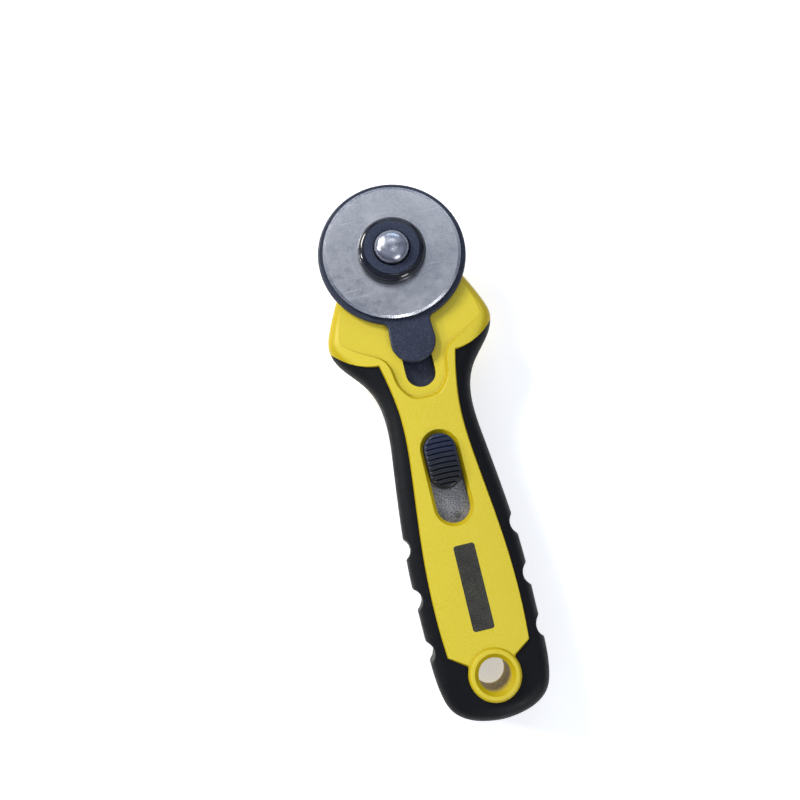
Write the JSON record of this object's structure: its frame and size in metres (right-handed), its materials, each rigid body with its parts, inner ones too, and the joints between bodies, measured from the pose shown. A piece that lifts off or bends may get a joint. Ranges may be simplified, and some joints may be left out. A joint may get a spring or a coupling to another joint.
{
  "type": "rotary cutter",
  "caption": "Hand-held rotary cutter: round blade on an axle at the head, black guard that slides with a ribbed thumb button, soft-sided yellow handle with a hang hole.",
  "frame": {"origin": "middle of the tool's length and width, on the flat back of the handle, which it rests on", "axes": "+Z along the blade axis and out of the front face, +Y along the tool towards the blade, X across; X = 0 is the plane of symmetry"},
  "size_m": [0.0544, 0.1734, 0.0302],
  "materials": {
    "yellow_plastic": "fine moulded texture, yellow",
    "soft_grip": "matte soft-touch moulding, black",
    "guard_plastic": "fine moulded texture, black",
    "button_plastic": "ribbed moulding, black",
    "hub_plastic": "satin to glossy moulding, black",
    "bush_plastic": "plain moulded, off white",
    "brass_insert": "turned",
    "polished_chrome": "polished and plated",
    "blade_steel": "ground and lightly polished",
    "plate_steel": "zinc plated sheet, slightly grainy",
    "spring_steel": "tempered sheet",
    "screw_steel": "zinc plated"
  },
  "bodies": {
    "handle": {"front_shell": "yellow_plastic", "back_shell": "yellow_plastic", "front_grip": "soft_grip", "back_grip": "soft_grip", "axle_plate": "plate_steel", "axle_bolt": "polished_chrome", "hub_cap": "hub_plastic", "blade_bush": "bush_plastic", "blade_spacer": "bush_plastic", "spring_washer": "spring_steel", "detent_spring": "spring_steel", "detent_screw": "screw_steel", "shell_screws": "screw_steel"},
    "guard_slide": {"guard": "guard_plastic", "guard_link": "guard_plastic", "link_screw": "screw_steel", "slide_plate": "plate_steel", "plate_rivets": "screw_steel", "thumb_button": "button_plastic", "button_rivets": "screw_steel"},
    "blade": {"blade": "blade_steel"},
    "nut_washer": {"nut_washer": "spring_steel"},
    "axle_nut": {"axle_nut": "hub_plastic", "nut_insert": "brass_insert"}
  },
  "joints": [
    {"name": "guard_travel", "type": "slide", "parent": "handle", "child": "guard_slide", "axis": [0, -1, 0], "range_m": [0, 0.0106], "deforming": ["detent_spring"]},
    {"name": "blade_spin", "type": "hinge", "parent": "handle", "child": "blade", "pos_m": [0, 0.06245, 0.02285], "axis": [0, 0, 1], "continuous": true},
    {"name": "nut_back_off", "type": "slide", "parent": "handle", "child": "nut_washer", "axis": [0, 0, -1], "range_m": [0, 0.0016]},
    {"name": "nut_turn", "type": "hinge", "parent": "nut_washer", "child": "axle_nut", "pos_m": [0, 0.06245, 0.005], "axis": [0, 0, -1], "range_deg": [0, 720]}
  ],
  "couplings": [
    {"joint": "nut_turn", "follows": "nut_back_off", "rad_per_m": 7850}
  ]
}
